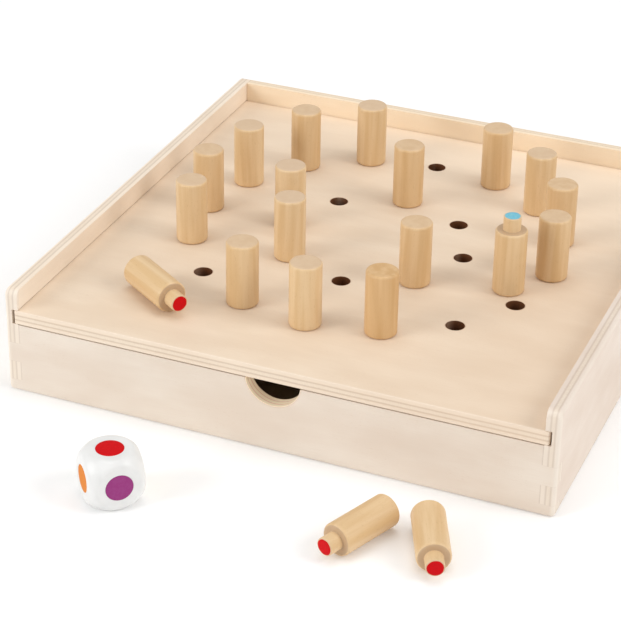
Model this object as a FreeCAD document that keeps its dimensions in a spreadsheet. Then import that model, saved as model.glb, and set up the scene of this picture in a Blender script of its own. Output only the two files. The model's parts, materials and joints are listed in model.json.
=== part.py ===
"""A wooden colour-memory game: a sliding-lid box whose lid is the playing board.

Frame: millimetres, +Z up, origin at the middle of the box's underside. The box's
low front wall looks along -Y, and the lid slides out that way.
"""
import FreeCAD, Part
import Sketcher

import math
import os

SHEET = "Dimensions"

DRIVING = {
    # box
    "box_side": 210.0,
    "box_height": 42.0,
    "front_height": 28.1,
    "wall_thickness": 5.3,
    "wall_rounding": 1.5,
    "rim_end_rounding": 3.0,
    "finger_height": 7.8,
    "notch_radius": 10.5,
    "notch_rise": 1.3,
    "notch_offset": 1.0,
    # bottom panel, let flush into a rebate around the walls' lower edges
    "panel_thickness": 3.0,
    "panel_rebate": 2.5,
    "panel_play": 0.15,
    # lid and its grooves
    "lid_thickness": 5.5,
    "lid_front_gap": 0.3,
    "lid_top_play": 0.25,
    "lid_side_play": 0.7,
    "lid_back_gap": 0.2,
    "lid_groove_depth": 2.4,
    "lid_corner_rounding": 1.0,
    "lid_rounding": 0.4,
    # rings of holes
    "hole_diameter": 7.0,
    "ring_middle_x": -0.95,
    "ring_middle_y": -0.5,
    "inner_ring_radius": 35.7,
    "outer_ring_radius": 70.65,
    "inner_hole_count": 8,
    "outer_hole_count": 16,
    # pegs
    "peg_diameter": 12.0,
    "peg_length": 25.4,
    "peg_rounding": 1.0,
    "spigot_diameter": 6.6,
    "spigot_length": 5.5,
    "spigot_rounding": 0.3,
    "lying_gap": 0.05,
    # die
    "die_side": 20.0,
    "die_ball_radius": 13.0,
    "die_cutter_margin": 1.0,
    "die_rounding": 2.5,
}

DERIVED = {
    "inside_half": "box_side / 2 - wall_thickness",
    "lid_level": "front_height + lid_front_gap",
    "lid_top": "lid_level + lid_thickness",
    "lid_width": "2 * (inside_half + lid_groove_depth - lid_side_play)",
    "lid_depth": "box_side - wall_thickness - lid_back_gap",
    "lid_middle": "-(wall_thickness + lid_back_gap) / 2",
    "panel_half": "inside_half + panel_rebate",
}

SIDE_WALLS = {"left_wall": -1, "right_wall": 1}

INNER_STANDING = [2, 4, 5, 7]
OUTER_STANDING = [0, 1, 2, 3, 5, 6, 7, 8, 9, 11, 12, 13]

UPTURNED_PEG = (58.2, -17.4)

# each lying peg: middle of its thick part, and the direction its spigot points in
LYING_ON_BOARD = {"lying_peg": (-58.8, -75.6, 326.0)}
LYING_ON_TABLE = {
    "table_peg_1": (49.5, -142.2, 248.5),
    "table_peg_2": (72.7, -138.9, 294.2),
}
LYING_IN_BOX = {
    "stored_peg_1": (-32.0, 70.0, 205.0),
    "stored_peg_2": (8.0, 82.0, 345.0),
    "stored_peg_3": (52.0, 66.0, 118.0),
    "stored_peg_4": (14.0, 58.0, 22.0),
}

DIE_PLACE = (-38.1, -153.3, 44.4)


# ---------------------------------------------------------------- document and sheet

def make_sheet(document):
    """Write the driving dimensions as numbers and the derived ones as formulas."""
    sheet = document.addObject("Spreadsheet::Sheet", SHEET)
    formulas = {name: "=" + formula for name, formula in DERIVED.items()}
    cells = {name: str(value) for name, value in DRIVING.items()} | formulas
    for row, name in enumerate(cells, start=1):
        sheet.set(f"A{row}", name)
        sheet.setAlias(f"B{row}", name)
    for row, content in enumerate(cells.values(), start=1):
        sheet.set(f"B{row}", content)
    document.recompute()
    return sheet


def bound(formula):
    """Turn a formula of dimension names, spaces between its words, into one on the sheet."""
    names = DRIVING | DERIVED
    return " ".join(f"{SHEET}.{word}" if word in names else word for word in formula.split())


def new_body(document, label):
    body = document.addObject("PartDesign::Body", label)
    body.Label = label
    return body


def move(body, x="0", y="0", z="0"):
    """Bind the body's place to the sheet."""
    for axis, formula in zip("xyz", (x, y, z)):
        body.setExpression(f".Placement.Base.{axis}", bound(formula))


# ---------------------------------------------------------------- sketches

def new_sketch(body, plane, name, lift="0"):
    """Attach a sketch to one of the body's own origin planes, lifted along its normal."""
    support = next(item for item in body.Origin.OriginFeatures if item.Role == plane)
    sketch = body.newObject("Sketcher::SketchObject", name)
    sketch.AttachmentSupport = (support, [""])
    sketch.MapMode = "FlatFace"
    sketch.setExpression(".AttachmentOffset.Base.z", bound(lift))
    return sketch


def hold(sketch, kind, geometry, point, formula):
    """Hold one coordinate of a point, measured from the sketch's origin."""
    index = sketch.addConstraint(Sketcher.Constraint(kind, -1, 1, geometry, point, 1.0))
    sketch.setExpression(f"Constraints[{index}]", bound(formula))


def add_rectangle(sketch, left, right, low, high):
    """Add an upright rectangle whose four sides are held by formulas."""
    corners = [(-1, -1), (1, -1), (1, 1), (-1, 1)]
    ends = [FreeCAD.Vector(x, y, 0) for x, y in corners]
    first = sketch.GeometryCount
    for start, end in zip(ends, ends[1:] + ends[:1]):
        sketch.addGeometry(Part.LineSegment(start, end), False)
    for side in range(4):
        following = first + (side + 1) % 4
        sketch.addConstraint(Sketcher.Constraint("Coincident", first + side, 2, following, 1))
    for side, direction in enumerate(["Horizontal", "Vertical"] * 2):
        sketch.addConstraint(Sketcher.Constraint(direction, first + side))
    hold(sketch, "DistanceX", first, 1, left)
    hold(sketch, "DistanceY", first, 1, low)
    hold(sketch, "DistanceX", first + 2, 1, right)
    hold(sketch, "DistanceY", first + 2, 1, high)


def add_circle(sketch, x, y, diameter):
    """Add a circle whose middle and diameter are held by formulas."""
    circle = Part.Circle(FreeCAD.Vector(1, 1, 0), FreeCAD.Vector(0, 0, 1), 1.0)
    index = sketch.addGeometry(circle, False)
    hold(sketch, "DistanceX", index, 3, x)
    hold(sketch, "DistanceY", index, 3, y)
    size = sketch.addConstraint(Sketcher.Constraint("Diameter", index, 2.0))
    sketch.setExpression(f"Constraints[{size}]", bound(diameter))


# ---------------------------------------------------------------- features

def pad(body, sketch, length, backwards=False):
    """Grow the body from a sketch, along its normal or against it."""
    feature = body.newObject("PartDesign::Pad", "Pad")
    feature.Profile = sketch
    feature.Reversed = backwards
    feature.setExpression("Length", bound(length))
    body.Document.recompute()


def pocket(body, sketch, depth, forwards=False):
    """Cut the body from a sketch, against its normal or along it."""
    before = body.Shape.Volume
    feature = body.newObject("PartDesign::Pocket", "Pocket")
    feature.Profile = sketch
    feature.Reversed = forwards
    feature.setExpression("Length", bound(depth))
    body.Document.recompute()
    if body.Shape.Volume > before - 1.0:
        raise RuntimeError(f"{body.Label}: {sketch.Label} cuts nothing")
    return feature


def round_edges(body, radius, wanted):
    """Round every edge of the body whose middle passes the test `wanted`."""
    tip = body.Tip
    names = []
    for number, edge in enumerate(tip.Shape.Edges, start=1):
        middle = edge.valueAt((edge.FirstParameter + edge.LastParameter) / 2)
        if wanted(edge, middle):
            names.append(f"Edge{number}")
    fillet = body.newObject("PartDesign::Fillet", "Rounding")
    fillet.Base = (tip, names)
    fillet.setExpression("Radius", bound(radius))
    body.Document.recompute()


def ring_of_holes(body, name, radius, count):
    """Drill one hole through the board and repeat it around the ring's middle."""
    sketch = new_sketch(body, "XY_Plane", name)
    sketch.setExpression(".AttachmentOffset.Base.x", bound("ring_middle_x"))
    sketch.setExpression(".AttachmentOffset.Base.y", bound("ring_middle_y - lid_middle"))
    add_circle(sketch, radius, "0", "hole_diameter")
    hole = pocket(body, sketch, "lid_thickness", forwards=True)
    before = body.Shape.Volume
    pattern = body.newObject("PartDesign::PolarPattern", name + "Pattern")
    pattern.Originals = [hole]
    pattern.Axis = (sketch, ["N_Axis"])
    pattern.Angle = 360.0
    pattern.setExpression("Occurrences", bound(count))
    body.Tip = pattern
    body.Document.recompute()
    if body.Shape.Volume > before - 1.0:
        raise RuntimeError(f"{body.Label}: {name} is not repeated")


# ---------------------------------------------------------------- the box

def finger_gap(number):
    """Low and high ends of finger space `number`, counted down from the front wall's top."""
    low = f"front_height - {number + 1} * finger_height"
    high = f"front_height - {number} * finger_height"
    return low, high


LOWEST_GAP = ("0", "front_height - 3 * finger_height")


def make_end_wall(document, label, outward):
    """Front wall (outward -1) or back wall (outward 1), with fingers at both ends."""
    body = new_body(document, label)
    move(body, y=f"{outward} * box_side / 2")
    front = outward < 0
    top = "front_height" if front else "box_height"

    outline = new_sketch(body, "XZ_Plane", label + "_outline")
    add_rectangle(outline, "- box_side / 2", "box_side / 2", "0", top)
    pad(body, outline, "wall_thickness", backwards=front)

    gaps = [finger_gap(0), finger_gap(2)]
    if not front:
        gaps.append(("front_height + finger_height", "box_height"))
    comb = new_sketch(body, "XZ_Plane", label + "_fingers")
    for low, high in gaps:
        add_rectangle(comb, "- box_side / 2", "- inside_half", low, high)
        add_rectangle(comb, "inside_half", "box_side / 2", low, high)
    pocket(body, comb, "wall_thickness", forwards=not front)

    inner_face = f"{outward} * wall_thickness"
    rebate = new_sketch(body, "XZ_Plane", label + "_panel_rebate", lift=inner_face)
    reach = "panel_half + panel_play"
    add_rectangle(rebate, f"- ( {reach} )", reach, "0", "panel_thickness")
    pocket(body, rebate, "panel_rebate + panel_play", forwards=front)

    if front:
        notch = new_sketch(body, "XZ_Plane", "finger_notch")
        add_circle(notch, "notch_offset", "front_height + notch_rise", "2 * notch_radius")
        pocket(body, notch, "wall_thickness")
    return body


def make_side_wall(document, label, outward):
    """Left wall (outward -1) or right wall (outward 1), with the lid's groove and fingers."""
    body = new_body(document, label)
    move(body, x=f"{outward} * box_side / 2")
    left = outward < 0

    outline = new_sketch(body, "YZ_Plane", label + "_outline")
    add_rectangle(outline, "- box_side / 2", "box_side / 2", "0", "box_height")
    pad(body, outline, "wall_thickness", backwards=not left)

    comb = new_sketch(body, "YZ_Plane", label + "_fingers")
    for low, high in [finger_gap(1), LOWEST_GAP]:
        add_rectangle(comb, "- box_side / 2", "- inside_half", low, high)
        add_rectangle(comb, "inside_half", "box_side / 2", low, high)
    back_low, back_high = "front_height", "front_height + finger_height"
    add_rectangle(comb, "inside_half", "box_side / 2", back_low, back_high)
    pocket(body, comb, "wall_thickness", forwards=left)

    inner_face = f"- {outward} * wall_thickness"
    lid_groove = new_sketch(body, "YZ_Plane", label + "_lid_groove", lift=inner_face)
    groove_top = "lid_top + lid_top_play"
    add_rectangle(lid_groove, "- box_side / 2", "inside_half", "lid_level", groove_top)
    pocket(body, lid_groove, "lid_groove_depth", forwards=not left)

    rebate = new_sketch(body, "YZ_Plane", label + "_panel_rebate", lift=inner_face)
    add_rectangle(rebate, "- inside_half", "inside_half", "0", "panel_thickness")
    pocket(body, rebate, "panel_rebate + panel_play", forwards=not left)
    return body


def soften_wall(body, sheet):
    """Round the wall's edges where two of the box's outer faces meet, and along its rim.

    A rim that ends above the low front wall gets a broader rounding there.
    """
    half = sheet.box_side / 2
    place = body.Placement.Base
    tiny = 1e-4

    def at_rim_end(edge, middle):
        spot = middle + place
        return abs(spot.y + half) < tiny and abs(spot.z - sheet.box_height) < tiny

    def on_outer_edge(edge, middle):
        spot = middle + place
        outer = [abs(abs(spot.x) - half) < tiny, abs(abs(spot.y) - half) < tiny]
        outer += [abs(spot.z) < tiny, abs(spot.z - sheet.box_height) < tiny]
        return sum(outer) >= 2

    if body.Label in SIDE_WALLS:
        round_edges(body, "rim_end_rounding", at_rim_end)
    round_edges(body, "wall_rounding", on_outer_edge)


def make_bottom_panel(document):
    """Thin plywood panel glued into the four walls' rebates."""
    body = new_body(document, "bottom_panel")
    outline = new_sketch(body, "XY_Plane", "panel_outline")
    add_rectangle(outline, "- panel_half", "panel_half", "- panel_half", "panel_half")
    pad(body, outline, "panel_thickness")
    return body


def make_lid(document, sheet):
    """The playing board, which is the box's sliding lid, with two rings of holes."""
    body = new_body(document, "playing_board")
    move(body, y="lid_middle", z="lid_level")
    outline = new_sketch(body, "XY_Plane", "board_outline")
    half_width, half_depth = "lid_width / 2", "lid_depth / 2"
    add_rectangle(outline, f"- {half_width}", half_width, f"- {half_depth}", half_depth)
    pad(body, outline, "lid_thickness")
    half_thickness = sheet.lid_thickness / 2

    def is_upright(edge, middle):
        return abs(middle.z - half_thickness) < half_thickness / 2

    round_edges(body, "lid_corner_rounding", is_upright)
    round_edges(body, "lid_rounding", lambda edge, middle: not is_upright(edge, middle))
    ring_of_holes(body, "inner_holes", "inner_ring_radius", "inner_hole_count")
    ring_of_holes(body, "outer_holes", "outer_ring_radius", "outer_hole_count")
    return body


# ---------------------------------------------------------------- pegs and die

def make_peg(document, label):
    """A turned peg: origin at its shoulder, thick part up, spigot down."""
    body = new_body(document, label)
    spigot = new_sketch(body, "XY_Plane", label + "_spigot")
    add_circle(spigot, "0", "0", "spigot_diameter")
    thick = new_sketch(body, "XY_Plane", label + "_thick_part")
    add_circle(thick, "0", "0", "peg_diameter")
    pad(body, thick, "peg_length")
    pad(body, spigot, "spigot_length", backwards=True)
    thick_radius = body.Shape.BoundBox.XMax
    lowest = body.Shape.BoundBox.ZMin

    def on_thick_part(edge, middle):
        whole = isinstance(edge.Curve, Part.Circle)
        return whole and abs(edge.Curve.Radius - thick_radius) < 0.01

    def on_spigot_end(edge, middle):
        return isinstance(edge.Curve, Part.Circle) and abs(middle.z - lowest) < 0.01

    round_edges(body, "peg_rounding", on_thick_part)
    round_edges(body, "spigot_rounding", on_spigot_end)
    return body


def stand_in_hole(body, ring_radius, hole, hole_count):
    """Stand a peg in hole number `hole` of a ring, counted anticlockwise from +X."""
    turn = f"{hole} * 360deg / {SHEET}.{hole_count}"
    for axis, function in [("x", "cos"), ("y", "sin")]:
        middle = f"{SHEET}.ring_middle_{axis}"
        place = f"{middle} + {SHEET}.{ring_radius} * {function}({turn})"
        body.setExpression(f".Placement.Base.{axis}", place)
    body.setExpression(".Placement.Base.z", bound("lid_top"))


def stand_on_head(body, x, y):
    """Stand a peg on its plain end on the board, spigot up."""
    body.Placement.Rotation = FreeCAD.Rotation(FreeCAD.Vector(1, 0, 0), 180)
    move(body, str(x), str(y), "lid_top + peg_length")


def lay_down(body, x, y, heading, surface):
    """Lay a peg on a surface; `heading` is the direction of its spigot in degrees."""
    body.Placement.Rotation = FreeCAD.Rotation(heading + 180, 90, 0)
    along_x = f"{math.cos(math.radians(heading)):.6f}"
    along_y = f"{math.sin(math.radians(heading)):.6f}"
    shoulder_x = f"{x} + {along_x} * peg_length / 2"
    shoulder_y = f"{y} + {along_y} * peg_length / 2"
    move(body, shoulder_x, shoulder_y, f"{surface} + peg_diameter / 2")


def make_pegs(document):
    """All 24 pegs, each in the place where it stands or lies."""
    pegs = []
    rings = [
        ("outer", OUTER_STANDING, "outer_ring_radius", "outer_hole_count"),
        ("inner", INNER_STANDING, "inner_ring_radius", "inner_hole_count"),
    ]
    for ring, holes, ring_radius, hole_count in rings:
        for number, hole in enumerate(holes, start=1):
            peg = make_peg(document, f"{ring}_peg_{number:02d}")
            stand_in_hole(peg, ring_radius, hole, hole_count)
            pegs.append(peg)

    upturned = make_peg(document, "upturned_peg")
    stand_on_head(upturned, *UPTURNED_PEG)
    pegs.append(upturned)

    groups = [
        (LYING_ON_BOARD, "lid_top + lying_gap"),
        (LYING_ON_TABLE, "0"),
        (LYING_IN_BOX, "panel_thickness + lying_gap"),
    ]
    for group, surface in groups:
        for label, (x, y, heading) in group.items():
            peg = make_peg(document, label)
            lay_down(peg, x, y, heading, surface)
            pegs.append(peg)
    return pegs


def turn_to_ball(body):
    """Cut away what lies outside a ball around the die's middle."""
    cutter = new_sketch(body, "XZ_Plane", "outside_the_ball")
    middle, upright = FreeCAD.Vector(0, 10, 0), FreeCAD.Vector(0, 0, 1)
    ball = Part.Circle(middle, upright, 13)
    cutter.addGeometry(Part.ArcOfCircle(ball, -math.pi / 3, math.pi / 3), False)
    corners = [(6.5, -1), (20, -1), (20, 21), (6.5, 21)]
    ends = [FreeCAD.Vector(x, y, 0) for x, y in corners]
    for start, end in zip(ends, ends[1:]):
        cutter.addGeometry(Part.LineSegment(start, end), False)
    for first, point, second in [(0, 1, 1), (1, 2, 2), (2, 2, 3)]:
        cutter.addConstraint(Sketcher.Constraint("Coincident", first, point, second, 1))
    cutter.addConstraint(Sketcher.Constraint("Coincident", 3, 2, 0, 2))
    for line, direction in [(1, "Horizontal"), (2, "Vertical"), (3, "Horizontal")]:
        cutter.addConstraint(Sketcher.Constraint(direction, line))
    hold(cutter, "DistanceX", 0, 3, "0")
    hold(cutter, "DistanceY", 0, 3, "die_side / 2")
    hold(cutter, "DistanceX", 1, 2, "die_side")
    hold(cutter, "DistanceY", 1, 2, "- die_cutter_margin")
    hold(cutter, "DistanceY", 2, 2, "die_side + die_cutter_margin")
    radius = cutter.addConstraint(Sketcher.Constraint("Radius", 0, 13.0))
    cutter.setExpression(f"Constraints[{radius}]", bound("die_ball_radius"))
    groove = body.newObject("PartDesign::Groove", "Groove")
    groove.Profile = cutter
    groove.ReferenceAxis = (cutter, ["V_Axis"])
    groove.Angle = 360.0
    body.Document.recompute()


def make_die(document):
    """A cube turned down to a ball at its corners and edges, standing on the table."""
    body = new_body(document, "colour_die")
    x, y, turn = DIE_PLACE
    body.Placement.Rotation = FreeCAD.Rotation(FreeCAD.Vector(0, 0, 1), turn)
    move(body, str(x), str(y))
    outline = new_sketch(body, "XY_Plane", "die_outline")
    half = "die_side / 2"
    add_rectangle(outline, f"- {half}", half, f"- {half}", half)
    pad(body, outline, "die_side")
    turn_to_ball(body)
    round_edges(body, "die_rounding", lambda edge, middle: isinstance(edge.Curve, Part.Circle))
    return body


# ---------------------------------------------------------------- checks and files

def check_document(document, bodies):
    """Stop if any object has failed or any sub-part has no sound solid."""
    for item in document.Objects:
        if "Invalid" in item.State or "Error" in item.State:
            raise RuntimeError(f"{item.Label}: {item.State}")
    for body in bodies:
        if body.Shape.isNull() or not body.Shape.isValid():
            raise RuntimeError(f"{body.Label}: no valid shape")
        if len(body.Shape.Solids) != 1:
            raise RuntimeError(f"{body.Label}: {len(body.Shape.Solids)} solids")


def write_parts(bodies):
    os.makedirs("parts", exist_ok=True)
    for body in bodies:
        body.Shape.exportStep(f"parts/{body.Label}.step")


def main():
    document = FreeCAD.newDocument("peg_game")
    sheet = make_sheet(document)
    walls = [make_end_wall(document, "front_wall", -1), make_end_wall(document, "back_wall", 1)]
    walls += [make_side_wall(document, label, outward) for label, outward in SIDE_WALLS.items()]
    for wall in walls:
        soften_wall(wall, sheet)
    bodies = walls + [make_bottom_panel(document), make_lid(document, sheet)]
    bodies += make_pegs(document)
    bodies.append(make_die(document))
    document.recompute()
    check_document(document, bodies)
    write_parts(bodies)
    print(len(bodies), "sub-parts written")


main()
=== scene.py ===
"""A wooden colour-memory game: plywood box, drilled sliding board, turned pegs and a colour die."""
import json
import math

import bpy
import numpy as np
from mathutils import Matrix, Vector


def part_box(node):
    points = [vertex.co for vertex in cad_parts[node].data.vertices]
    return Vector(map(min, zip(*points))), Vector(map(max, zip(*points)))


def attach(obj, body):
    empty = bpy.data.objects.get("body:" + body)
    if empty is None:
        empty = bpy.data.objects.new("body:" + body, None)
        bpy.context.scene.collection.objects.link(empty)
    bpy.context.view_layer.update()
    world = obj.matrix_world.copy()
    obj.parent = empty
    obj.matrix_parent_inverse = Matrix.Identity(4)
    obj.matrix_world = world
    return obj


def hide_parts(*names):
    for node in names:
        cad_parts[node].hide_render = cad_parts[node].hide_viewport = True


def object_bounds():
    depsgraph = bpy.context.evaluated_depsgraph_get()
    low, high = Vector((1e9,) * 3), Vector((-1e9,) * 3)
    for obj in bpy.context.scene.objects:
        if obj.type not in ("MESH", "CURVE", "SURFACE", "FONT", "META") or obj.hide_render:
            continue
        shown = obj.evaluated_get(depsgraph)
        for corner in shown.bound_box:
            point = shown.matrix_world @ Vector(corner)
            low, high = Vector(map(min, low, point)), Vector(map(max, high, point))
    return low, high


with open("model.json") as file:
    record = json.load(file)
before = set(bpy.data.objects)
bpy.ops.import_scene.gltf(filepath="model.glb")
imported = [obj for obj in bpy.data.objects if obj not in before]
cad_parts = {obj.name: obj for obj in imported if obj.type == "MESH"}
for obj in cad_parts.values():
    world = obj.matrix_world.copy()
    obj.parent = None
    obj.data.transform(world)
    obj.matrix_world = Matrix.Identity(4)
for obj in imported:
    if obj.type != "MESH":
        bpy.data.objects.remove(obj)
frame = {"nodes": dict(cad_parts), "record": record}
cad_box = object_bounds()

MM = 0.001

# ---------------------------------------------------------------- sizes and places

SPIGOT_RADIUS = 3.3 * MM
SPIGOT_LENGTH = 5.5 * MM
PEG_ROUNDING = 1.0 * MM
SPIGOT_ROUNDING = 0.3 * MM
DOT_RADIUS = 2.85 * MM
DOT_THICKNESS = 0.1 * MM

DIE_BALL = 13.0 * MM
DIE_ROUNDING = 2.5 * MM
DIE_TURN = math.radians(44.4)
SPOT_RADIUS = 4.95 * MM
SPOT_RECESS = 0.15 * MM
SPOT_SINK = 0.03 * MM
SPOT_CLEARANCE = 0.06 * MM

UP = (0.0, 0.0, 1.0)
DOWN = (0.0, 0.0, -1.0)


def heading(degrees):
    """Level direction of a lying peg's spigot, anticlockwise from +X."""
    angle = math.radians(degrees)
    return (math.cos(angle), math.sin(angle), 0.0)


# each peg: the direction its spigot points in, and the colour of its dot
RING_COLOURS = {
    "outer_peg": ["yellow", "green", "orange", "purple", "light_blue", "yellow",
                  "green", "purple", "orange", "green", "light_blue", "yellow"],
    "inner_peg": ["orange", "purple", "green", "light_blue"],
}
PEGS = {
    f"{ring}_{number:02d}": (DOWN, colour)
    for ring, colours in RING_COLOURS.items()
    for number, colour in enumerate(colours, start=1)
}
PEGS |= {
    "upturned_peg": (UP, "light_blue"),
    "lying_peg": (heading(326.0), "red"),
    "table_peg_1": (heading(248.5), "red"),
    "table_peg_2": (heading(294.2), "red"),
    "stored_peg_1": (heading(205.0), "red"),
    "stored_peg_2": (heading(345.0), "yellow"),
    "stored_peg_3": (heading(118.0), "purple"),
    "stored_peg_4": (heading(22.0), "orange"),
}


# dowels cut from deeper-toned wood, and by how much
DEEPER_PEGS = {"outer_peg_02": 0.4, "outer_peg_12": 0.55, "inner_peg_01": 0.25}


def middle_of(node):
    low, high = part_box(node)
    return (low + high) / 2


# ---------------------------------------------------------------- shader arithmetic


class Value:
    """One output of a shader node; sums and products of values add Math nodes."""

    def __init__(self, finish, socket):
        self.finish = finish
        self.socket = socket

    def math(self, operation, *others):
        return self.finish.node("ShaderNodeMath", {"operation": operation}, (self, *others))

    def flipped(self, operation, other):
        return self.finish.node("ShaderNodeMath", {"operation": operation}, (other, self))

    def __add__(self, other):
        return self.math("ADD", other)

    def __sub__(self, other):
        return self.math("SUBTRACT", other)

    def __rsub__(self, other):
        return self.flipped("SUBTRACT", other)

    def __mul__(self, other):
        return self.math("MULTIPLY", other)

    def __truediv__(self, other):
        return self.math("DIVIDE", other)

    def __pow__(self, other):
        return self.math("POWER", other)

    __radd__ = __add__
    __rmul__ = __mul__

    def nearest(self, other):
        return self.math("MINIMUM", other)

    def away_from(self, level):
        """Distance from `level`."""
        return (self - level).math("ABSOLUTE")

    def from_multiple(self, step):
        """Distance from the nearest whole multiple of `step`."""
        return self.math("PINGPONG", step / 2)

    def band(self, low, high):
        """Smooth step from 0 at `low` to 1 at `high`; falls instead if low is above high."""
        settings = {"interpolation_type": "SMOOTHSTEP"}
        if low < high:
            return self.finish.node("ShaderNodeMapRange", settings, (self, low, high, 0.0, 1.0))
        return self.finish.node("ShaderNodeMapRange", settings, (self, high, low, 1.0, 0.0))


class Finish:
    """One material and the nodes that make it."""

    def __init__(self, name):
        self.material = bpy.data.materials.new(name)
        self.material.use_nodes = True
        self.tree = self.material.node_tree
        self.tree.nodes.clear()

    def node(self, kind, settings=None, inputs=(), output=0):
        """Add a node: its settings first, then its sockets' values or links."""
        made = self.tree.nodes.new(kind)
        for name, setting in (settings or {}).items():
            setattr(made, name, setting)
        pairs = inputs.items() if isinstance(inputs, dict) else enumerate(inputs)
        for key, value in pairs:
            if isinstance(value, Value):
                self.tree.links.new(value.socket, made.inputs[key])
            else:
                made.inputs[key].default_value = value
        return Value(self, made.outputs[output])

    def split(self, vector):
        return [self.node("ShaderNodeSeparateXYZ", None, (vector,), axis) for axis in range(3)]

    def join(self, x, y, z):
        return self.node("ShaderNodeCombineXYZ", None, (x, y, z))

    def place(self):
        """Object coordinates in millimetres."""
        here = self.node("ShaderNodeTexCoord", output="Object")
        settings = {"operation": "SCALE"}
        return self.node("ShaderNodeVectorMath", settings, {0: here, "Scale": 1 / MM})

    def scaled(self, vector, factors):
        """Vector with each part times its own factor."""
        settings = {"operation": "MULTIPLY"}
        return self.node("ShaderNodeVectorMath", settings, (vector, factors))

    def attribute(self, name, output="Fac"):
        return self.node("ShaderNodeAttribute", {"attribute_name": name}, output=output)

    def noise(self, vector, detail=2.0, roughness=0.5, distortion=0.0):
        """Smooth noise from 0 to 1 whose grains are about one unit of `vector` across."""
        inputs = {"Vector": vector, "Scale": 1.0, "Detail": detail}
        inputs |= {"Roughness": roughness, "Distortion": distortion}
        return self.node("ShaderNodeTexNoise", None, inputs)

    def mix(self, factor, first, second, blend="MIX"):
        settings = {"data_type": "RGBA", "blend_type": blend}
        return self.node("ShaderNodeMix", settings, {0: factor, 6: first, 7: second}, 2)

    def bump(self, height, strength, distance):
        inputs = {"Height": height, "Strength": strength, "Distance": distance}
        return self.node("ShaderNodeBump", None, inputs)

    def finish(self, **sockets):
        """Close the tree with a principled shader; socket names use _ for a space."""
        named = {name.replace("_", " "): value for name, value in sockets.items()}
        shader = self.node("ShaderNodeBsdfPrincipled", None, named)
        self.node_output(shader)
        return self.material

    def node_output(self, shader):
        made = self.tree.nodes.new("ShaderNodeOutputMaterial")
        self.tree.links.new(shader.socket, made.inputs["Surface"])


def colour(red, green, blue):
    """Linear colour of a display colour given from 0 to 255."""
    shares = [value / 255 for value in (red, green, blue)]
    linear = [s / 12.92 if s <= 0.04045 else ((s + 0.055) / 1.055) ** 2.4 for s in shares]
    return (*linear, 1.0)


# ---------------------------------------------------------------- wood

# lengths here and in the wood shaders are millimetres
PLY_SHARE = 1 / 3
FINGER_HEIGHT = 7.8
END_WALLS = ("front_wall", "back_wall")
INNER_HOLES = 8
OUTER_HOLES = 16
FAR = 10.0
NOTCH_OFFSET, NOTCH_RISE, NOTCH_RADIUS = 1.0, 1.3, 10.5
HOLE_RADIUS = 3.5
GLUE_BROWN = colour(150, 118, 92)
# finger-joint seams: glue, and painted shade of the gap between the fingers
JOINT_GLUE_AND_SHADE = colour(140, 104, 74)
DASH_BROWN = colour(188, 150, 114)
CORE_TONES = colour(232, 218, 198), colour(214, 195, 172)
# painted light and shade on the playing board: paler towards the back, deeper towards the right
# front
BACK_PAINTED_LIGHT = colour(250, 230, 206)
RIGHT_FRONT_PAINTED_SHADE = colour(224, 196, 168)
PALE_EDGE = colour(243, 229, 213)
END_FACE = colour(233, 220, 205)
# paler outer edges: sanding, and painted light that lifts the shade on the rounded edges
SANDED_AND_LIT_EDGE = colour(250, 243, 232)
# painted shade for the holes: a darker rim round each hole and dark brown walls inside
HOLE_RIM_SHADE = colour(150, 104, 66)
HOLE_WALL_SHADE = colour(112, 68, 38)
NOTCH_RIM = colour(196, 152, 112)
# painted light: the notch's cut face is coloured paler and glows faintly, standing for light that
# the lid's shade keeps off
NOTCH_CUT_PAINTED_LIGHT = colour(255, 238, 210)
NOTCH_GLOW = (0.15, 0.11, 0.07, 1.0)
NO_GLOW = (0.0, 0.0, 0.0, 1.0)


def fibres(shader, along, across, through):
    """Three measures of a board's figure: broad bands, growth-ring contours and fine fibres.

    Each is noise on coordinates squeezed along the grain, so that its grains are long
    and narrow; the contours are the sine of a slow noise, as rings cut at a low angle.
    """
    bands = shader.noise(shader.join(along / 46, across / 15, through / 15), 3.0, 0.55)
    slow = shader.noise(shader.join(along / 160, across / 34, through / 34), 1.0, 0.4, 0.3)
    contours = (slow * 60).math("SINE") * 0.5 + 0.5
    fine = shader.noise(shader.join(along / 9, across / 0.45, through / 0.45), 4.0, 0.65)
    return bands, contours, fine


def flecks(shader, along, across, through):
    """Short dark dashes along the grain: the top of a small stretched noise."""
    small = shader.noise(shader.join(along / 1.6, across / 0.24, through / 0.24), 1.0, 0.5)
    clusters = shader.noise(shader.join(along / 30, across / 12, through / 12), 1.0)
    return small.band(0.66, 0.74) * clusters.band(0.42, 0.62)


def ring_distance(x, y, radius, count):
    """Distance in millimetres from the nearest hole's middle in one ring of holes.

    The angle is folded into half of one hole's share of the circle, and the cosine rule
    gives the distance: d * d = r * r + R * R - 2 * r * R * cos(angle).
    """
    from_middle = (x * x + y * y).math("SQRT")
    folded = y.math("ARCTAN2", x).from_multiple(2 * math.pi / count)
    square = x * x + y * y + radius ** 2 - from_middle * folded.math("COSINE") * (2 * radius)
    return square.math("MAXIMUM", 0.0).math("SQRT")


def hole_distance(axes):
    """Distance from the nearest hole; pegs standing in the rings mark where these are."""
    east, west, inner_west = (
        middle_of(node) / MM for node in ("outer_peg_01", "outer_peg_08", "inner_peg_02")
    )
    middle = (east + west) / 2
    x, y = axes[0] - middle.x, axes[1] - middle.y
    inner = ring_distance(x, y, middle.x - inner_west.x, INNER_HOLES)
    outer = ring_distance(x, y, middle.x - west.x, OUTER_HOLES)
    return inner.nearest(outer)


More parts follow.
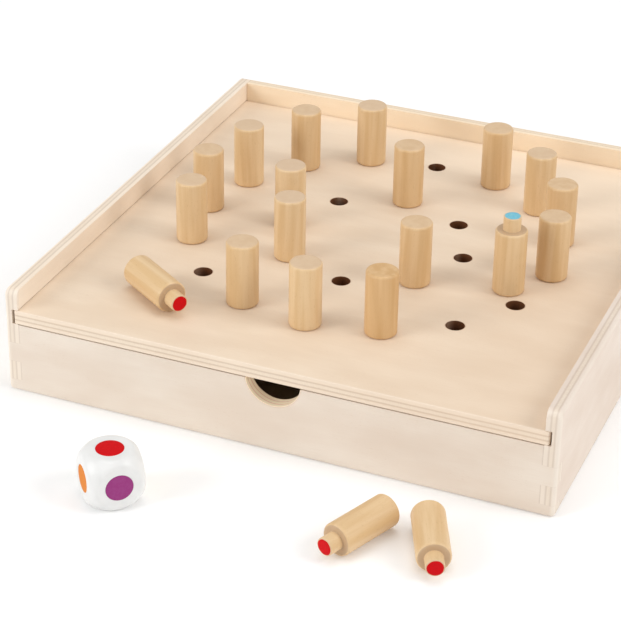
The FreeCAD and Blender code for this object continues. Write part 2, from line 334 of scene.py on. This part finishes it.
def joint_distance(axes, node, along, through):
    """Distance in millimetres from the seams of a wall's finger joints, dark from glue and from
    painted shade of the gap.

    Rows of fingers are counted from the front wall's top, and every other row is the
    other wall's finger. The walls' inner corners count as seams from top to bottom.
    """
    row_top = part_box("front_wall")[1].z / MM
    inside_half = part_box("right_wall")[0].x / MM
    sideways, height = axes[along].math("ABSOLUTE"), axes[2]
    beyond = sideways.band(inside_half - 0.2, inside_half + 0.2)
    rows = (height - row_top).from_multiple(FINGER_HEIGHT)
    level_lines = rows + 0.35 + (1 - beyond) * FAR
    other_finger = row_top - FINGER_HEIGHT * (0.5 if node in END_WALLS else 1.5)
    off_finger = (height - other_finger).from_multiple(2 * FINGER_HEIGHT)
    other_row = off_finger.band(FINGER_HEIGHT / 2 + 0.1, FINGER_HEIGHT / 2 - 0.1)
    inner_face = axes[through].math("ABSOLUTE").band(inside_half + 0.6, inside_half + 0.2)
    upright = other_row.math("MAXIMUM", inner_face)
    upright_lines = sideways.away_from(inside_half) + (1 - upright) * FAR
    lines = level_lines.nearest(upright_lines)
    if node in END_WALLS:
        return lines
    above_front = axes[1].band(0.0, -1.0) * height.band(row_top - 0.7, row_top - 0.5)
    return lines + above_front * FAR


def sanded_and_lit_edges(axes):
    """1 along the box's outer edges, falling to 0 beside them: paler from sanding, and painted
    light against the shade on their roundings.
    """
    low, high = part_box("left_wall")
    half, top = -low.x / MM, high.z / MM
    sides = [axis.math("ABSOLUTE").band(half - 1.9, half - 0.5) for axis in axes[:2]]
    ends = axes[2].band(1.6, 0.4).math("MAXIMUM", axes[2].band(top - 1.9, top - 0.5))
    pairs = [sides[0] * sides[1], sides[0] * ends, sides[1] * ends]
    return pairs[0].math("MAXIMUM", pairs[1]).math("MAXIMUM", pairs[2])


def notch_distance(axes):
    """Distance in millimetres outside the finger notch, a round hole through the front wall."""
    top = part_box("front_wall")[1].z / MM
    x, z = axes[0] - NOTCH_OFFSET, axes[2] - (top + NOTCH_RISE)
    return (x * x + z * z).math("SQRT") - NOTCH_RADIUS


def plywood(name, node, grain, through, face, shade, seed):
    """Three-ply board: two face plies with the grain along `grain`, a cross ply between.

    The plies are layers of the solid, so glue lines show wherever the board is cut.
    """
    shader = Finish(name)
    low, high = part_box(node)
    thickness = (high[through] - low[through]) / MM
    axes = shader.split(shader.place())
    depth = (axes[through] - low[through] / MM) / thickness
    across = 3 - grain - through
    along_mm, across_mm = axes[grain] + seed * 311.0, axes[across] + seed * 173.0
    wobble = shader.noise(shader.join(along_mm / 7, across_mm / 7, seed * 1.0), 2.0) - 0.5
    level = depth + wobble * 0.03
    to_glue = level.away_from(PLY_SHARE).nearest(level.away_from(2 * PLY_SHARE))
    glue = to_glue.band(0.11, 0.0)
    core = level.away_from(0.5).band(PLY_SHARE / 2 + 0.03, PLY_SHARE / 2 - 0.03)

    bands, contours, fine = fibres(shader, along_mm, across_mm, depth * thickness)
    dashes = flecks(shader, along_mm, across_mm, depth * thickness)
    cross = shader.noise(
        shader.join(along_mm / 0.4, across_mm / 6, depth * thickness / 0.7), 3.0, 0.6
    )
    cloud = shader.noise(shader.join(along_mm / 26, across_mm / 15, seed * 3.0), 2.0)

    wood = shader.mix(bands.band(0.3, 0.72) * 0.75, face, shade)
    wood = shader.mix(cloud.band(0.40, 0.70) * 0.38, wood, shade)
    wood = shader.mix(contours * 0.12, wood, shade)
    wood = shader.mix(fine.band(0.38, 0.75) * 0.24, wood, shade)
    wood = shader.mix(dashes * 0.22, wood, DASH_BROWN)
    core_wood = shader.mix(cross.band(0.3, 0.7), *CORE_TONES)
    wood = shader.mix(core * 0.45, wood, core_wood)
    wood = shader.mix(glue * 0.26, wood, GLUE_BROWN)

    glow = NO_GLOW
    if node == "playing_board":
        # painted light and shade: the board is paler towards the back and deeper towards the right
        # front
        back_painted_light = axes[1].band(0.0, 100.0) * axes[0].band(-160.0, 90.0)
        wood = shader.mix(back_painted_light * 0.6, wood, BACK_PAINTED_LIGHT)
        right_front_painted_shade = axes[1].band(40.0, -30.0) * axes[0].band(10.0, 90.0)
        wood = shader.mix(right_front_painted_shade * 0.3, wood, RIGHT_FRONT_PAINTED_SHADE)
        front_edge = axes[1].band(-104.2, -104.8) * (1 - glue)
        wood = shader.mix(front_edge * 0.38, wood, PALE_EDGE)
        to_hole = hole_distance(axes) + wobble * 0.25
        # painted shade: the holes' rims are darkened and their walls coloured dark brown
        rim = to_hole.band(HOLE_RADIUS + 0.6, HOLE_RADIUS + 0.05)
        wood = shader.mix(rim * 0.3, wood, HOLE_RIM_SHADE)
        wood = shader.mix(to_hole.band(HOLE_RADIUS + 0.12, HOLE_RADIUS), wood, HOLE_WALL_SHADE)
    elif node != "bottom_panel":
        end_face = axes[grain].math("ABSOLUTE").band(102.8, 104.2)
        wood = shader.mix(end_face * 0.8, wood, END_FACE)
        wood = shader.mix(core * end_face * 0.2, wood, core_wood)
        wood = shader.mix(glue * end_face * 0.2, wood, GLUE_BROWN)
        line = joint_distance(axes, node, grain, through)
        # finger-joint seams: glue, and painted shade of the gap between the fingers
        wood = shader.mix(line.band(0.6, 0.0) * 0.22, wood, JOINT_GLUE_AND_SHADE)
        # paler outer edges: sanding, and painted light that lifts the shade on the rounded edges
        wood = shader.mix(sanded_and_lit_edges(axes) * 0.16, wood, SANDED_AND_LIT_EDGE)
    if node == "front_wall":
        outside = notch_distance(axes)
        wood = shader.mix(outside.band(0.9, 0.1) * 0.22, wood, NOTCH_RIM)
        # painted light on the notch's cut face: a paler colour and a faint glow
        cut = outside.band(0.12, 0.02) * (1 - glue * 0.55)
        wood = shader.mix(cut * 0.85, wood, NOTCH_CUT_PAINTED_LIGHT)
        glow = shader.mix(cut, glow, NOTCH_GLOW)

    relief = fine * 0.6 + contours * 0.1 - dashes * 0.8 - glue * 0.5
    return shader.finish(
        Base_Color=wood,
        Roughness=fine * 0.18 + 0.5,
        Specular_IOR_Level=0.35,
        Emission_Color=glow,
        Emission_Strength=1.0,
        Normal=shader.bump(relief, 0.3, 0.05 * MM),
    )


def dowel():
    """Turned beech dowel, on each peg's own wood coordinates in millimetres.

    Rings are the sine of the distance from a far pith; the dowels' tone differs.
    """
    shader = Finish("turned_dowel")
    grain = shader.attribute("wood", "Vector")
    tone = shader.attribute("tone")
    end = shader.attribute("end")
    shoulder = shader.attribute("shoulder")
    x, y, z = shader.split(grain)
    slow = shader.noise(shader.join(x / 5, y / 5, z / 45), 2.0)
    pith = (x * x + y * y).math("SQRT") + slow * 2.6
    rings = ((pith * 2.6).math("SINE") * 0.5 + 0.5) ** 1.6
    streaks = shader.noise(shader.join(x / 0.55, y / 0.55, z / 16), 4.0, 0.62)
    bands = shader.noise(shader.join(x / 3.2, y / 3.2, z / 60), 2.0)
    small = shader.noise(shader.join(x / 0.22, y / 0.22, z / 1.5), 1.0)
    dashes = small.band(0.66, 0.74) * (1 - end)

    pale = shader.mix(tone, colour(236, 211, 173), colour(221, 185, 138))
    deep = shader.mix(tone, colour(217, 183, 133), colour(198, 154, 98))
    wood = shader.mix(bands.band(0.3, 0.7) * 0.5 + 0.22, pale, deep)
    wood = shader.mix(rings * 0.1, wood, deep)
    wood = shader.mix(streaks.band(0.40, 0.72) * 0.08, wood, colour(192, 150, 98))
    wood = shader.mix(dashes * 0.2, wood, colour(158, 112, 68))
    wood = shader.mix(end * (0.95 - tone * 0.9), wood, colour(209, 182, 154))
    # the shoulder round the spigot is darkened: painted shade of its corner, with a little turning
    # residue
    wood = shader.mix(shoulder * 0.4, wood, colour(160, 126, 90))
    relief = streaks * 0.6 + rings * 0.15 - dashes
    return shader.finish(
        Base_Color=wood,
        Roughness=streaks * 0.16 + 0.36,
        Specular_IOR_Level=0.45,
        Normal=shader.bump(relief, 0.3, 0.05 * MM),
    )


# ---------------------------------------------------------------- paint and plastic


def paint(name, strong, worn):
    """Brushed-on paint: a mottled film that lets a little of the ground through."""
    shader = Finish(name)
    here = shader.place()
    mottle = shader.noise(here, 3.0, 0.6)
    specks = shader.noise(shader.scaled(here, (6.0, 6.0, 6.0)), 2.0)
    film = shader.mix(mottle.band(0.35, 0.7) * 0.6, strong, worn)
    film = shader.mix(specks.band(0.62, 0.75) * 0.25, film, worn)
    return shader.finish(
        Base_Color=film,
        Roughness=mottle * 0.15 + 0.42,
        Specular_IOR_Level=0.1,
        Normal=shader.bump(specks + mottle, 0.25, 0.03 * MM),
    )


def die_plastic():
    """Glossy white moulded plastic with faint handling marks."""
    shader = Finish("white_die_plastic")
    here = shader.place()
    cloud = shader.noise(shader.scaled(here, (0.16, 0.16, 0.16)), 2.0)
    marks = shader.noise(shader.scaled(here, (0.7, 6.0, 4.0)), 3.0, 0.7)
    white = shader.mix(cloud.band(0.3, 0.7), colour(231, 231, 229), colour(225, 225, 223))
    return shader.finish(
        Base_Color=shader.mix(marks.band(0.66, 0.8) * 0.2, white, colour(220, 220, 218)),
        Roughness=marks * 0.12 + 0.36,
        Coat_Weight=0.15,
        Normal=shader.bump(marks, 0.08, 0.02 * MM),
    )


# ---------------------------------------------------------------- surfaces


def make_piece(name, points, faces, material, attributes=None):
    """Put computed points and faces into a mesh, smooth-shaded, with point attributes."""
    mesh = bpy.data.meshes.new(name)
    mesh.from_pydata(points.tolist(), [], faces)
    for label, values in (attributes or {}).items():
        kind, field = ("FLOAT_VECTOR", "vector") if values.ndim == 2 else ("FLOAT", "value")
        made = mesh.attributes.new(label, kind, "POINT")
        made.data.foreach_set(field, values.astype(np.float32).ravel())
    mesh.polygons.foreach_set("use_smooth", [True] * len(mesh.polygons))
    mesh.materials.append(material)
    piece = bpy.data.objects.new(name, mesh)
    bpy.context.scene.collection.objects.link(piece)
    return piece


def arc(centre, radius, start, stop, steps):
    """Points on a quarter or other arc: centre plus radius times cosine and sine."""
    angle = np.radians(np.linspace(start, stop, steps))
    return np.stack([centre[0] + radius * np.cos(angle), centre[1] + radius * np.sin(angle)], 1)


def turned(profile, turns, radial=None):
    """Closed surface of revolution about Z: the profile's radius times cosine and sine.

    `profile` runs from the lower pole to the upper one as (radius, height) rows, and
    `radial` is a factor on the radius for each row and step round the axis.
    """
    angle = np.linspace(0, 2 * np.pi, turns, endpoint=False)
    inner = profile[1:-1]
    radius = inner[:, :1] * (np.ones((1, turns)) if radial is None else radial[1:-1])
    ring = np.stack([radius * np.cos(angle), radius * np.sin(angle),
                     np.repeat(inner[:, 1:], turns, axis=1)], axis=2)
    poles = np.array([[0, 0, profile[0, 1]], [0, 0, profile[-1, 1]]])
    points = np.concatenate([ring.reshape(-1, 3), poles])
    rows = len(inner)
    index = np.arange(rows * turns).reshape(rows, turns)
    following = np.roll(index, -1, axis=1)
    quads = np.stack([index[:-1], following[:-1], following[1:], index[1:]], axis=2)
    faces = quads.reshape(-1, 4).tolist()
    low, high = rows * turns, rows * turns + 1
    faces += [(low, b, a) for a, b in zip(index[0].tolist(), following[0].tolist())]
    faces += [(high, a, b) for a, b in zip(index[-1].tolist(), following[-1].tolist())]
    return points, faces


def peg_profile(radius, length):
    """Half outline of a peg, shoulder at height 0: spigot below, rounded thick part above."""
    tip = -(SPIGOT_LENGTH - DOT_THICKNESS)
    small, big = SPIGOT_ROUNDING, PEG_ROUNDING
    pieces = [
        [(0.0, tip)],
        [(r, tip) for r in np.linspace(0.3, 0.97, 5) * (SPIGOT_RADIUS - small)],
        arc((SPIGOT_RADIUS - small, tip + small), small, -90, 0, 7),
        [(SPIGOT_RADIUS, h) for h in np.linspace(tip + small, -0.15 * MM, 8)[1:]],
        arc((SPIGOT_RADIUS + 0.15 * MM, -0.15 * MM), 0.15 * MM, 180, 90, 4)[1:],
        [(r, 0.0) for r in np.linspace(SPIGOT_RADIUS + 0.3 * MM, radius - big - 0.1 * MM, 4)],
        arc((radius - big, big), big, -90, 0, 9),
        [(radius, h) for h in np.linspace(big, length - big, 16)[1:-1]],
        arc((radius - big, length - big), big, 0, 90, 9),
        [(r, length) for r in np.linspace(0.97, 0.15, 9) * (radius - big)],
        [(0.0, length)],
    ]
    return np.concatenate([np.array(part, float).reshape(-1, 2) for part in pieces])


def axes_towards(direction):
    """Rows of a right-handed frame whose +Z is opposite to `direction`."""
    z_axis = -np.array(direction)
    side = np.array([1.0, 0.0, 0.0]) if abs(z_axis[2]) > 0.9 else np.array([0.0, 0.0, 1.0])
    x_axis = np.cross(side, z_axis)
    x_axis /= np.linalg.norm(x_axis)
    return np.stack([x_axis, np.cross(z_axis, x_axis), z_axis])


def vertices_of(node):
    mesh = frame["nodes"][node].data
    flat = np.empty(len(mesh.vertices) * 3, np.float32)
    mesh.vertices.foreach_get("co", flat)
    return flat.reshape(-1, 3).astype(float)


def body_of(node):
    bodies = frame["record"]["behaviour"]["bodies"]
    return next(body for body, nodes in bodies.items() if node in nodes)


def seat(piece, node, slot):
    """Ride on the node's body; the slot is not used."""
    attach(piece, body_of(node))


PEG_TURNS = 96


def make_peg(node, direction, dot_colour, wood, dots, chance):
    """A turned peg in the place of its CAD node, with the painted dot on its spigot.

    The thick part's radius drops by up to half a percent in slow waves, as a turned
    dowel's does: two sines round the axis and one along it.
    """
    local = vertices_of(node) @ axes_towards(direction).T
    low, high = local.min(0), local.max(0)
    middle = (low + high) / 2
    radius = (high[0] - low[0]) / 2
    length = high[2] - low[2] - SPIGOT_LENGTH
    origin = np.array([middle[0], middle[1], low[2] + SPIGOT_LENGTH])

    profile = peg_profile(radius, length)
    angle = np.linspace(0, 2 * np.pi, PEG_TURNS, endpoint=False)
    phase = chance.uniform(0, 2 * np.pi, 3)
    waves = np.sin(2 * angle + phase[0]) + 0.6 * np.sin(5 * angle + phase[1])
    slow = np.sin(profile[:, 1] / length * 4 + phase[2])
    radial = 1 - 0.0012 * (1.6 + waves)[None, :] - 0.0008 * (1 + slow)[:, None]
    points, faces = turned(profile, PEG_TURNS, radial)

    blank = chance.uniform(0, 2 * np.pi)
    lean = chance.uniform(-0.05, 0.05, 2)
    spin = np.array([[math.cos(blank), math.sin(blank)], [-math.sin(blank), math.cos(blank)]])
    grain = points / MM
    grain[:, :2] = grain[:, :2] @ spin + np.outer(grain[:, 2], lean)
    grain += np.array([chance.uniform(14, 46), chance.uniform(-9, 9), chance.uniform(0, 900)])
    flat_end = np.abs(points[:, 2] - length) < 0.2 * MM
    flat_end |= points[:, 2] < -SPIGOT_LENGTH + 0.2 * MM
    flat_end |= (np.abs(points[:, 2]) < 0.1 * MM) & (np.hypot(*points[:, :2].T) < radius * 0.9)
    # the shoulder ring, which the dowel finish darkens as painted shade with a little turning
    # residue
    shoulder = np.abs(points[:, 2]) < 0.1 * MM
    tone = np.full(len(points), chance.uniform(0.15, 0.6) + DEEPER_PEGS.get(node, 0.0))
    attributes = {"wood": grain, "tone": tone, "end": flat_end.astype(float),
                  "shoulder": shoulder.astype(float)}
    to_world = axes_towards(direction)
    piece = make_piece(node + "_turned", (points + origin) @ to_world, faces, wood, attributes)
    seat(piece, node, "dowel_wood")
    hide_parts(node)

    ragged = 1 + 0.012 * np.sin(3 * angle + phase[1]) + 0.008 * np.sin(7 * angle + phase[2])
    dot_points, dot_faces = turned(dot_profile(DOT_RADIUS, DOT_THICKNESS), PEG_TURNS,
                                   np.repeat(ragged[None, :], len(DOT_STEPS) + 4, axis=0))
    dot_points[:, 2] -= SPIGOT_LENGTH
    dot = make_piece(node + "_dot", (dot_points + origin) @ to_world, dot_faces, dots[dot_colour])
    seat(dot, node, dot_colour + "_paint")


DOT_STEPS = np.linspace(0, 1, 7)


def dot_profile(radius, thickness):
    """Half outline of a painted dot: a thin film with a rounded rim, low side first."""
    rim = 0.5 * thickness
    edge = [(radius - rim + rim * math.sin(math.pi * s), rim - rim * math.cos(math.pi * s))
            for s in DOT_STEPS]
    inner = [(0.0, 0.0), (0.6 * radius, 0.0)]
    outer = [(0.6 * radius, thickness), (0.0, thickness)]
    return np.array(inner + edge + outer)


# ---------------------------------------------------------------- the die

DIE_TURNS = 192


def ray_length(lean, half):
    """Distance from the die's middle to its surface, along a ray that leans off a face's axis.

    The die is a cube cut by a ball: the ray meets the flat face, then the fillet, a
    circle that touches face and ball, then the ball.
    """
    middle = np.array([math.sqrt((DIE_BALL - DIE_ROUNDING) ** 2 - (half - DIE_ROUNDING) ** 2),
                       half - DIE_ROUNDING])
    along = middle[0] * np.sin(lean) + middle[1] * np.cos(lean)
    fillet = along + np.sqrt(np.maximum(DIE_ROUNDING ** 2 - middle @ middle + along ** 2, 0.0))
    slope = np.tan(lean)
    on_ball = slope > middle[0] / middle[1]
    return np.where(slope * half < middle[0], half / np.cos(lean),
                    np.where(on_ball, DIE_BALL, fillet))


def die_face(side):
    """One face of the die, as rings from the recess's middle to the lines between faces.

    Each ring's points lie on rays from the die's middle. The rays of the first ring lean
    alike, and those of the last ring lean as far as the cube's edges, 45 to 55 degrees.
    """
    half = side / 2
    angle = np.linspace(0, 2 * np.pi, DIE_TURNS, endpoint=False)
    circle = np.stack([np.cos(angle), np.sin(angle)], 1)
    square = circle / np.abs(circle).max(1, keepdims=True)
    recess = SPOT_RADIUS + SPOT_CLEARANCE
    floor = [(share * recess, SPOT_RECESS) for share in (0.0, 0.35, 0.7, 0.93, 0.985)]
    lip = [(recess, 0.6 * SPOT_RECESS), (recess, 0.15 * SPOT_RECESS)]
    points = [np.column_stack([radius * circle, np.full(DIE_TURNS, half - depth)])
              for radius, depth in floor + lip]
    first = math.atan(1.006 * recess / half)
    last = np.arctan(np.linalg.norm(square, axis=1))
    for share in np.linspace(0, 1, 44):
        lean = first + (last - first) * share
        reach = ray_length(lean, half)
        flat = circle * (reach * np.sin(lean))[:, None]
        points.append(np.column_stack([flat, reach * np.cos(lean)]))
    return np.stack(points)


def cube_turns():
    """Six frames, each taking a face that looks along +Z to another side of the cube."""
    flat = np.eye(3)
    sides = {"top": (0, 2), "front": (0, 1), "side": (1, 0)}
    frames = {}
    for name, (level, normal) in sides.items():
        for sign in (1, -1):
            axis = sign * flat[normal]
            across = flat[level]
            frames[name, sign] = np.stack([across, np.cross(axis, across), axis])
    return frames


def make_die(plastic, dots):
    """A rounded cube with a shallow painted recess in each face."""
    low, high = (np.array(corner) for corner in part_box("colour_die"))
    centre = (low + high) / 2
    side = high[2] - low[2]
    turn = np.array([[math.cos(DIE_TURN), math.sin(DIE_TURN), 0],
                     [-math.sin(DIE_TURN), math.cos(DIE_TURN), 0], [0, 0, 1]])
    face = die_face(side)
    rows, turns = face.shape[:2]
    index = np.arange(rows * turns).reshape(rows, turns)
    following = np.roll(index, -1, axis=1)
    quads = np.stack([index[:-1], index[1:], following[1:], following[:-1]], 2).reshape(-1, 4)

    all_points, all_quads = [], []
    frames = cube_turns()
    for number, axes in enumerate(frames.values()):
        all_points.append(face.reshape(-1, 3) @ axes)
        all_quads.append(quads + number * rows * turns)
    points = np.concatenate(all_points)
    keys = np.round(points / MM, 4)
    _, first, back = np.unique(keys, axis=0, return_index=True, return_inverse=True)
    joined = back.reshape(-1)[np.concatenate(all_quads)]
    faces = [tuple(dict.fromkeys(quad)) for quad in joined.tolist()]
    faces = [corners for corners in faces if len(corners) > 2]
    piece = make_piece("colour_die_moulded", points[first] @ turn + centre, faces, plastic)
    seat(piece, "colour_die", "die_plastic")
    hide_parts("colour_die")

    colours = {("top", 1): "red", ("top", -1): "light_blue", ("front", -1): "purple",
               ("front", 1): "green", ("side", -1): "orange", ("side", 1): "yellow"}
    profile = dot_profile(SPOT_RADIUS, SPOT_RECESS - SPOT_SINK)
    for key, spot_colour in colours.items():
        spot_points, spot_faces = turned(profile, PEG_TURNS)
        spot_points[:, 2] += side / 2 - SPOT_RECESS
        placed = spot_points @ frames[key] @ turn + centre
        label = f"die_{spot_colour}_spot"
        spot = make_piece(label, placed, spot_faces, dots[spot_colour])
        seat(spot, "colour_die", spot_colour + "_paint")


# ---------------------------------------------------------------- carried-over boards


def finish_boards():
    """Give the box's walls, its bottom and the playing board their plywood."""
    # the walls' tones differ by side as painted light and shade: the back and left walls paler, the
    # front and right walls deeper, for the light each side gets
    front = colour(232, 220, 206), colour(221, 204, 187)
    back = colour(252, 234, 208), colour(243, 221, 191)
    left = colour(247, 233, 216), colour(235, 217, 196)
    right = colour(230, 216, 203), colour(219, 201, 185)
    board = colour(236, 217, 194), colour(225, 203, 178)
    thin = colour(232, 210, 182), colour(216, 190, 160)
    x_axis, y_axis, z_axis = range(3)
    boards = {
        "front_wall": (x_axis, y_axis, front),
        "back_wall": (x_axis, y_axis, back),
        "left_wall": (y_axis, x_axis, left),
        "right_wall": (y_axis, x_axis, right),
        "playing_board": (x_axis, z_axis, board),
        "bottom_panel": (y_axis, z_axis, thin),
    }
    for seed, (node, (grain, through, tones_with_painted_light)) in enumerate(boards.items(), start=1):
        material = plywood(node + "_plywood", node, grain, through, *tones_with_painted_light, seed)
        for holder in frame["nodes"][node].material_slots:
            holder.material = material


# ---------------------------------------------------------------- studio

FLOOR_REACH = 6.0


def make_floor():
    """A wide level white sheet under the object."""
    shader = Finish("studio_floor")
    speckle = shader.noise(shader.place(), 2.0)
    shader.finish(
        Base_Color=shader.mix(speckle * 0.02, (0.92, 0.92, 0.92, 1.0), (0.88, 0.88, 0.88, 1.0)),
        Roughness=0.9,
        Specular_IOR_Level=0.1,
        Emission_Color=(1.0, 1.0, 1.0, 1.0),
        Emission_Strength=0.08,
    )
    reach = np.linspace(-FLOOR_REACH, FLOOR_REACH, 9)
    x, y = np.meshgrid(reach, reach)
    points = np.stack([x.ravel(), y.ravel(), np.full(x.size, cad_box[0].z - 0.02 * MM)], 1)
    index = np.arange(x.size).reshape(x.shape)
    quads = np.stack([index[:-1, :-1], index[:-1, 1:], index[1:, 1:], index[1:, :-1]], 2)
    floor = make_piece("studio_floor", points, quads.reshape(-1, 4).tolist(), shader.material)


WORLD_STRENGTH = 0.54
LIGHT_DISTANCE = 2.2

# each soft box: the direction it shines from, its width in metres and its power in watts
SOFT_BOXES = {
    "left_box": ((-0.8, -0.85, 0.5), 1.2, 20.0),
    "right_box": ((0.93, 0.02, 0.78), 1.0, 12.5),
    "low_right_box": ((1.1, -0.2, 0.35), 1.2, 6.0),
    "top_box": ((0.0, 0.1, 1.0), 1.4, 10.6),
}

# azimuth, elevation and roll in degrees; the place is in sides of the box
CAMERA_ANGLES = (22.044, 29.550, 0.904)
CAMERA_PLACE = (1.2207, -3.3405, 2.0258)
CAMERA_SENSOR, CAMERA_LENS = 36.0, 126.50


def add_light(name, direction, size, power):
    """A round soft box that shines from `direction` on the middle of the game."""
    lamp = bpy.data.lights.new(name, "AREA")
    lamp.shape = "DISK"
    lamp.size = size
    lamp.energy = power
    holder = bpy.data.objects.new(name, lamp)
    bpy.context.scene.collection.objects.link(holder)
    away = Vector(direction).normalized()
    holder.location = away * LIGHT_DISTANCE
    holder.rotation_euler = away.to_track_quat("Z", "Y").to_euler()


def make_lights():
    """A white surround and four soft boxes: left, right, low right and overhead."""
    world = bpy.data.worlds.new("studio")
    bpy.context.scene.world = world
    world.use_nodes = True
    background = world.node_tree.nodes["Background"]
    background.inputs["Color"].default_value = (1.0, 1.0, 1.0, 1.0)
    background.inputs["Strength"].default_value = WORLD_STRENGTH
    for name, (direction, size, power) in SOFT_BOXES.items():
        add_light(name, direction, size, power)


def make_camera():
    """Look down on the box from the front right."""
    low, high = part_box("front_wall")
    azimuth, elevation, roll = (math.radians(angle) for angle in CAMERA_ANGLES)
    back = np.array([math.sin(azimuth) * math.cos(elevation),
                     -math.cos(azimuth) * math.cos(elevation), math.sin(elevation)])
    right = np.array([math.cos(azimuth), math.sin(azimuth), 0.0])
    up = np.cross(back, right)
    across = math.cos(roll) * right + math.sin(roll) * up
    upright = -math.sin(roll) * right + math.cos(roll) * up
    lens = bpy.data.cameras.new("camera")
    lens.sensor_width = CAMERA_SENSOR
    lens.lens = CAMERA_LENS
    lens.clip_start, lens.clip_end = 0.01, 50.0
    camera = bpy.data.objects.new("camera", lens)
    bpy.context.scene.collection.objects.link(camera)
    matrix = np.eye(4)
    matrix[:3, :3] = np.stack([across, upright, back], axis=1)
    matrix[:3, 3] = np.array(CAMERA_PLACE) * (high.x - low.x)
    camera.matrix_world = Matrix(matrix)
    bpy.context.scene.camera = camera


# ---------------------------------------------------------------- the whole scene


def main():
    make_camera()
    bpy.context.scene.view_settings.view_transform = "Standard"
    chance = np.random.default_rng(24)
    dots = {
        "red": paint("red_paint", colour(206, 2, 12), colour(190, 8, 20)),
        "light_blue": paint("light_blue_paint", colour(106, 184, 206), colour(150, 200, 208)),
        "purple": paint("purple_paint", colour(150, 58, 122), colour(154, 70, 130)),
        "orange": paint("orange_paint", colour(218, 124, 24), colour(222, 134, 40)),
        "green": paint("green_paint", colour(70, 150, 74), colour(104, 170, 100)),
        "yellow": paint("yellow_paint", colour(244, 206, 60), colour(246, 216, 104)),
    }
    wood = dowel()
    finish_boards()
    for node, (direction, dot_colour) in PEGS.items():
        make_peg(node, direction, dot_colour, wood, dots, chance)
    make_die(die_plastic(), dots)
    make_floor()
    make_lights()


main()
